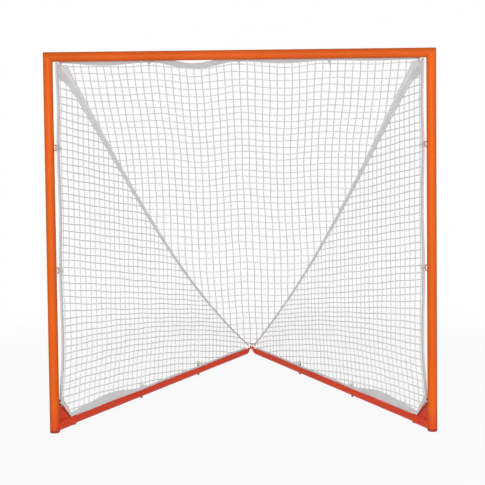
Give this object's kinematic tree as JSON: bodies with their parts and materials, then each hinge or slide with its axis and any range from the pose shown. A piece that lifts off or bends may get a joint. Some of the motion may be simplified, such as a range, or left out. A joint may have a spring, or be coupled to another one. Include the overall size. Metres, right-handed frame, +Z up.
{
  "type": "lacrosse goal",
  "caption": "Free-standing sports goal: orange round-tube mouth frame, ground bars meeting in a V at a bolted apex, and a laced square-mesh net hung in three triangular panels.",
  "frame": {"origin": "middle of the bounding box's base: on the ground, between the mouth and the apex, on the centre line", "axes": "+X across the mouth, +Y from the mouth to the apex, +Z up; the mouth faces -Y"},
  "size_m": [1.9254, 2.0761, 1.8911],
  "materials": {
    "orange_powder_coat": "semi-gloss orange powder coat on round steel tube",
    "red_powder_coat": "semi-gloss red-orange powder coat on steel tube and plate",
    "black_steel": "black oxide fasteners",
    "zinc_hardware": "yellow-passivated zinc hardware",
    "net_twine": "white knotted twine in square mesh",
    "white_webbing": "grey-white woven webbing"
  },
  "bodies": {
    "root": {"apex_bolt": "zinc_hardware", "apex_nut": "zinc_hardware", "apex_washer": "zinc_hardware", "back_net": "net_twine", "crossbar": "orange_powder_coat", "crossbar_eye_1": "orange_powder_coat", "crossbar_eye_2": "orange_powder_coat", "crossbar_eye_3": "orange_powder_coat", "crossbar_eye_4": "orange_powder_coat", "crossbar_eye_5": "orange_powder_coat", "left_bar_socket": "red_powder_coat", "left_bottom_band": "white_webbing", "left_corner_key": "black_steel", "left_crossbar_corner_screw": "black_steel", "left_eye_bolt_1": "black_steel", "left_eye_bolt_2": "black_steel", "left_eye_nut_1": "black_steel", "left_eye_nut_2": "black_steel", "left_foot_plug": "red_powder_coat", "left_ground_bar": "red_powder_coat", "left_gusset": "red_powder_coat", "left_post": "orange_powder_coat", "left_post_band": "white_webbing", "left_post_corner_screw": "black_steel", "left_post_eye_1": "orange_powder_coat", "left_post_eye_2": "orange_powder_coat", "left_seam_band": "white_webbing", "left_side_net": "net_twine", "left_stop_bolt": "black_steel", "left_stop_nut": "black_steel", "right_bar_socket": "red_powder_coat", "right_bottom_band": "white_webbing", "right_corner_key": "black_steel", "right_crossbar_corner_screw": "black_steel", "right_eye_bolt_1": "black_steel", "right_eye_bolt_2": "black_steel", "right_eye_nut_1": "black_steel", "right_eye_nut_2": "black_steel", "right_foot_plug": "red_powder_coat", "right_ground_bar": "red_powder_coat", "right_gusset": "red_powder_coat", "right_post": "orange_powder_coat", "right_post_band": "white_webbing", "right_post_corner_screw": "black_steel", "right_post_eye_1": "orange_powder_coat", "right_post_eye_2": "orange_powder_coat", "right_seam_band": "white_webbing", "right_side_net": "net_twine", "right_stop_bolt": "black_steel", "right_stop_nut": "black_steel", "top_band": "white_webbing"}
  },
  "joints": []
}
